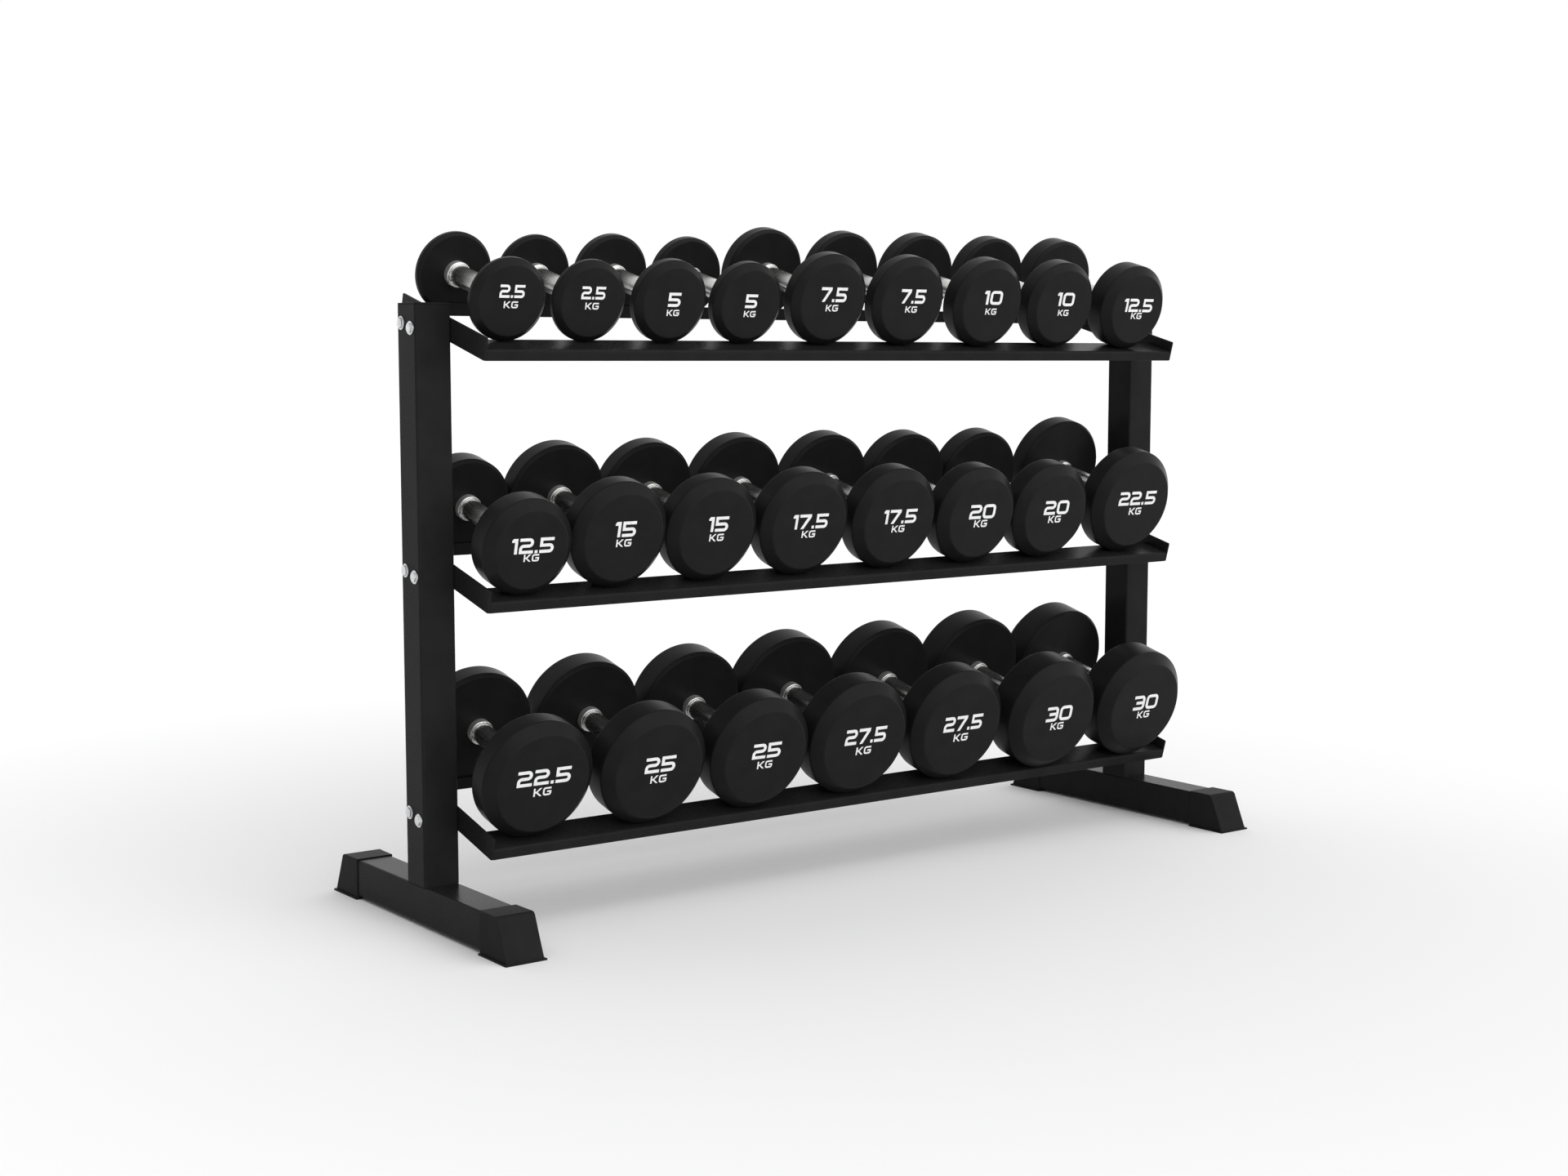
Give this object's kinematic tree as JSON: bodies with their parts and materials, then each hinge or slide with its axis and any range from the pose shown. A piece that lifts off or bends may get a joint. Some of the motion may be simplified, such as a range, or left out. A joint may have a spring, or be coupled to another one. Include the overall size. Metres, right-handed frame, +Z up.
{
  "type": "dumbbell rack",
  "caption": "Steel storage rack with tiers of sloping trays between T-shaped end frames, loaded with round rubber-headed dumbbells.",
  "frame": {"origin": "on the floor, under the middle of the rack", "axes": "+X along the rack to the right as the user faces it, -Y towards the user, where the trays are low, +Z up"},
  "size_m": [1.58, 0.58, 1.1066],
  "materials": {
    "powder_coat": "matte",
    "black_plastic": "satin",
    "head_rubber": "matte",
    "chrome_grip": "polished",
    "zinc_steel": "satin"
  },
  "bodies": {
    "rack": {"left_upright": "powder_coat", "right_upright": "powder_coat", "left_foot_tube": "powder_coat", "right_foot_tube": "powder_coat", "foot_caps": "black_plastic", "upright_plugs": "black_plastic", "front_rails": "powder_coat", "rear_rails": "powder_coat", "end_plates": "powder_coat", "tray_bolts": "zinc_steel", "tray_washers": "zinc_steel", "tray_nuts": "zinc_steel"},
    "dumbbell_top_1": {"dumbbell_top_1_heads": "head_rubber", "dumbbell_top_1_handle": "chrome_grip"},
    "dumbbell_top_2": {"dumbbell_top_2_heads": "head_rubber", "dumbbell_top_2_handle": "chrome_grip"},
    "dumbbell_top_3": {"dumbbell_top_3_heads": "head_rubber", "dumbbell_top_3_handle": "chrome_grip"},
    "dumbbell_top_4": {"dumbbell_top_4_heads": "head_rubber", "dumbbell_top_4_handle": "chrome_grip"},
    "dumbbell_top_5": {"dumbbell_top_5_heads": "head_rubber", "dumbbell_top_5_handle": "chrome_grip"},
    "dumbbell_top_6": {"dumbbell_top_6_heads": "head_rubber", "dumbbell_top_6_handle": "chrome_grip"},
    "dumbbell_top_7": {"dumbbell_top_7_heads": "head_rubber", "dumbbell_top_7_handle": "chrome_grip"},
    "dumbbell_top_8": {"dumbbell_top_8_heads": "head_rubber", "dumbbell_top_8_handle": "chrome_grip"},
    "dumbbell_top_9": {"dumbbell_top_9_heads": "head_rubber", "dumbbell_top_9_handle": "chrome_grip"},
    "dumbbell_middle_1": {"dumbbell_middle_1_heads": "head_rubber", "dumbbell_middle_1_handle": "chrome_grip"},
    "dumbbell_middle_2": {"dumbbell_middle_2_heads": "head_rubber", "dumbbell_middle_2_handle": "chrome_grip"},
    "dumbbell_middle_3": {"dumbbell_middle_3_heads": "head_rubber", "dumbbell_middle_3_handle": "chrome_grip"},
    "dumbbell_middle_4": {"dumbbell_middle_4_heads": "head_rubber", "dumbbell_middle_4_handle": "chrome_grip"},
    "dumbbell_middle_5": {"dumbbell_middle_5_heads": "head_rubber", "dumbbell_middle_5_handle": "chrome_grip"},
    "dumbbell_middle_6": {"dumbbell_middle_6_heads": "head_rubber", "dumbbell_middle_6_handle": "chrome_grip"},
    "dumbbell_middle_7": {"dumbbell_middle_7_heads": "head_rubber", "dumbbell_middle_7_handle": "chrome_grip"},
    "dumbbell_middle_8": {"dumbbell_middle_8_heads": "head_rubber", "dumbbell_middle_8_handle": "chrome_grip"},
    "dumbbell_bottom_1": {"dumbbell_bottom_1_heads": "head_rubber", "dumbbell_bottom_1_handle": "chrome_grip"},
    "dumbbell_bottom_2": {"dumbbell_bottom_2_heads": "head_rubber", "dumbbell_bottom_2_handle": "chrome_grip"},
    "dumbbell_bottom_3": {"dumbbell_bottom_3_heads": "head_rubber", "dumbbell_bottom_3_handle": "chrome_grip"},
    "dumbbell_bottom_4": {"dumbbell_bottom_4_heads": "head_rubber", "dumbbell_bottom_4_handle": "chrome_grip"},
    "dumbbell_bottom_5": {"dumbbell_bottom_5_heads": "head_rubber", "dumbbell_bottom_5_handle": "chrome_grip"},
    "dumbbell_bottom_6": {"dumbbell_bottom_6_heads": "head_rubber", "dumbbell_bottom_6_handle": "chrome_grip"},
    "dumbbell_bottom_7": {"dumbbell_bottom_7_heads": "head_rubber", "dumbbell_bottom_7_handle": "chrome_grip"}
  },
  "joints": [
    {"name": "lift_top_1", "type": "slide", "parent": "rack", "child": "dumbbell_top_1", "axis": [0, 0, 1], "range_m": [0, 0.1]},
    {"name": "lift_top_2", "type": "slide", "parent": "rack", "child": "dumbbell_top_2", "axis": [0, 0, 1], "range_m": [0, 0.1]},
    {"name": "lift_top_3", "type": "slide", "parent": "rack", "child": "dumbbell_top_3", "axis": [0, 0, 1], "range_m": [0, 0.1]},
    {"name": "lift_top_4", "type": "slide", "parent": "rack", "child": "dumbbell_top_4", "axis": [0, 0, 1], "range_m": [0, 0.1]},
    {"name": "lift_top_5", "type": "slide", "parent": "rack", "child": "dumbbell_top_5", "axis": [0, 0, 1], "range_m": [0, 0.1]},
    {"name": "lift_top_6", "type": "slide", "parent": "rack", "child": "dumbbell_top_6", "axis": [0, 0, 1], "range_m": [0, 0.1]},
    {"name": "lift_top_7", "type": "slide", "parent": "rack", "child": "dumbbell_top_7", "axis": [0, 0, 1], "range_m": [0, 0.1]},
    {"name": "lift_top_8", "type": "slide", "parent": "rack", "child": "dumbbell_top_8", "axis": [0, 0, 1], "range_m": [0, 0.1]},
    {"name": "lift_top_9", "type": "slide", "parent": "rack", "child": "dumbbell_top_9", "axis": [0, 0, 1], "range_m": [0, 0.1]},
    {"name": "lift_middle_1", "type": "slide", "parent": "rack", "child": "dumbbell_middle_1", "axis": [0, 0, 1], "range_m": [0, 0.1]},
    {"name": "lift_middle_2", "type": "slide", "parent": "rack", "child": "dumbbell_middle_2", "axis": [0, 0, 1], "range_m": [0, 0.1]},
    {"name": "lift_middle_3", "type": "slide", "parent": "rack", "child": "dumbbell_middle_3", "axis": [0, 0, 1], "range_m": [0, 0.1]},
    {"name": "lift_middle_4", "type": "slide", "parent": "rack", "child": "dumbbell_middle_4", "axis": [0, 0, 1], "range_m": [0, 0.1]},
    {"name": "lift_middle_5", "type": "slide", "parent": "rack", "child": "dumbbell_middle_5", "axis": [0, 0, 1], "range_m": [0, 0.1]},
    {"name": "lift_middle_6", "type": "slide", "parent": "rack", "child": "dumbbell_middle_6", "axis": [0, 0, 1], "range_m": [0, 0.1]},
    {"name": "lift_middle_7", "type": "slide", "parent": "rack", "child": "dumbbell_middle_7", "axis": [0, 0, 1], "range_m": [0, 0.1]},
    {"name": "lift_middle_8", "type": "slide", "parent": "rack", "child": "dumbbell_middle_8", "axis": [0, 0, 1], "range_m": [0, 0.1]},
    {"name": "lift_bottom_1", "type": "slide", "parent": "rack", "child": "dumbbell_bottom_1", "axis": [0, 0, 1], "range_m": [0, 0.1]},
    {"name": "lift_bottom_2", "type": "slide", "parent": "rack", "child": "dumbbell_bottom_2", "axis": [0, 0, 1], "range_m": [0, 0.1]},
    {"name": "lift_bottom_3", "type": "slide", "parent": "rack", "child": "dumbbell_bottom_3", "axis": [0, 0, 1], "range_m": [0, 0.1]},
    {"name": "lift_bottom_4", "type": "slide", "parent": "rack", "child": "dumbbell_bottom_4", "axis": [0, 0, 1], "range_m": [0, 0.1]},
    {"name": "lift_bottom_5", "type": "slide", "parent": "rack", "child": "dumbbell_bottom_5", "axis": [0, 0, 1], "range_m": [0, 0.1]},
    {"name": "lift_bottom_6", "type": "slide", "parent": "rack", "child": "dumbbell_bottom_6", "axis": [0, 0, 1], "range_m": [0, 0.1]},
    {"name": "lift_bottom_7", "type": "slide", "parent": "rack", "child": "dumbbell_bottom_7", "axis": [0, 0, 1], "range_m": [0, 0.1]}
  ]
}
